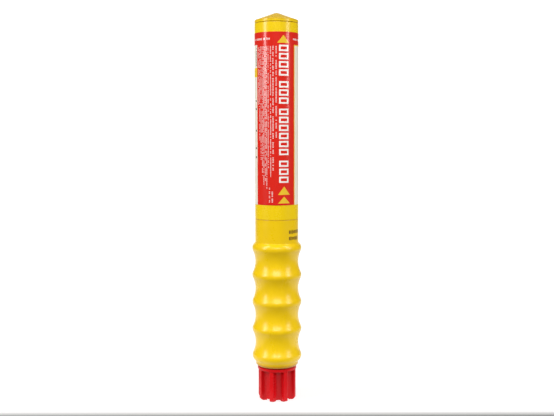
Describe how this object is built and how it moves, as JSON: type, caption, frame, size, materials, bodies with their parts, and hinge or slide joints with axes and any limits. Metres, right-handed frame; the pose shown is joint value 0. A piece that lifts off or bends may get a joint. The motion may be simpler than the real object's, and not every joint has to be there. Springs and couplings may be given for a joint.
{
  "type": "parachute rocket distress signal",
  "caption": "Hand-held tubular rocket distress signal with a finger-grooved grip, a conical push-off nose and a fluted screw base cap over a pull knob.",
  "frame": {"origin": "on the tube's axis, level with the bottom of the base cap's lobes", "axes": "+Z along the axis from the base cap to the nose; -Y is the label's front, where the triangles are"},
  "size_m": [0.0386, 0.0386, 0.3026],
  "materials": {
    "tube_yellow": "semi-gloss moulded plastic, lemon yellow",
    "grip_yellow": "semi-gloss moulded plastic, warm yellow",
    "cap_red": "semi-gloss moulded plastic, deep red",
    "printed_film": "printed gloss film, red with white panels",
    "black_rubber": "matt black rubber",
    "black_plastic": "fine-grained black plastic",
    "white_plastic": "matt white plastic",
    "aluminium": "turned aluminium",
    "steel": "zinc-plated steel",
    "bright_steel": "polished bearing steel",
    "brass": "turned brass",
    "painted_steel": "grey-green lacquered steel",
    "nozzle_composite": "moulded dark brown composite",
    "foil": "thin foil",
    "charge_grey": null,
    "candle_red": null,
    "cork": "granulated cork",
    "felt": "pressed felt",
    "foam": "closed-cell foam",
    "parachute_cloth": "folded orange nylon cloth",
    "elastic": "flat elastic"
  },
  "bodies": {
    "grip": {"launch_tube": "tube_yellow", "grip_handle": "grip_yellow", "tube_label": "printed_film", "tube_joint_seal": "black_rubber", "mechanism_housing": "black_plastic", "breech_plate": "aluminium", "breech_seal": "black_rubber", "breech_screws": "steel", "primer_holder": "brass", "primer": "brass", "rod_bush": "brass", "rod_seal": "black_rubber", "seat_washer": "cork"},
    "striker": {"striker": "steel", "firing_pin": "steel", "sear_balls": "bright_steel", "striker_spring": "steel"},
    "pull_knob": {"pull_rod": "steel", "pull_knob": "black_plastic", "knob_pin": "steel"},
    "cap_washer": {"base_cap_washer": "black_rubber"},
    "base_cap": {"base_cap": "cap_red"},
    "rocket": {"nozzle": "nozzle_composite", "nozzle_closure": "foil", "motor_case": "painted_steel", "propellant_grain": "charge_grey", "motor_bulkhead": "aluminium", "delay_element": "brass", "expelling_cup": "white_plastic", "payload_canister": "aluminium"},
    "payload": {"pusher_wad": "felt", "candle_case": "aluminium", "candle_fill": "candle_red", "candle_end_cap": "aluminium", "parachute_pack": "parachute_cloth", "parachute_bands": "elastic", "canister_lid": "white_plastic", "nose_pad": "foam"},
    "swivel": {"suspension_swivel": "steel"},
    "nose_cap": {"nose_cap": "tube_yellow", "nose_cap_seal": "black_rubber"}
  },
  "joints": [
    {"name": "base_cap_travel", "type": "slide", "parent": "grip", "child": "cap_washer", "axis": [0, 0, -1], "range_m": [0, 0.016]},
    {"name": "base_cap_turn", "type": "hinge", "parent": "cap_washer", "child": "base_cap", "pos_m": [0, 0, 0.0267], "axis": [0, 0, -1], "range_deg": [0, 720]},
    {"name": "knob_pull", "type": "slide", "parent": "grip", "child": "pull_knob", "axis": [0, 0, -1], "range_m": [0, 0.009], "stiffness_N_per_m": 2200, "springref_m": -0.0045},
    {"name": "striker_cock", "type": "slide", "parent": "grip", "child": "striker", "axis": [0, 0, -1], "range_m": [0, 0.009], "deforming": ["striker_spring"]},
    {"name": "rocket_launch", "type": "slide", "parent": "grip", "child": "rocket", "axis": [0, 0, 1], "range_m": [0, 0.22]},
    {"name": "payload_eject", "type": "slide", "parent": "rocket", "child": "payload", "axis": [0, 0, 1], "range_m": [0, 0.125]},
    {"name": "swivel_turn", "type": "hinge", "parent": "payload", "child": "swivel", "pos_m": [0, 0, 0.2296], "axis": [0, 0, 1], "continuous": true},
    {"name": "nose_cap_release", "type": "slide", "parent": "payload", "child": "nose_cap", "axis": [0, 0, 1], "range_m": [0, 0.03]}
  ],
  "couplings": [
    {"joint": "base_cap_travel", "follows": "base_cap_turn", "m_per_rad": 0.0012732},
    {"joint": "striker_cock", "follows": "knob_pull", "ratio": 1}
  ]
}
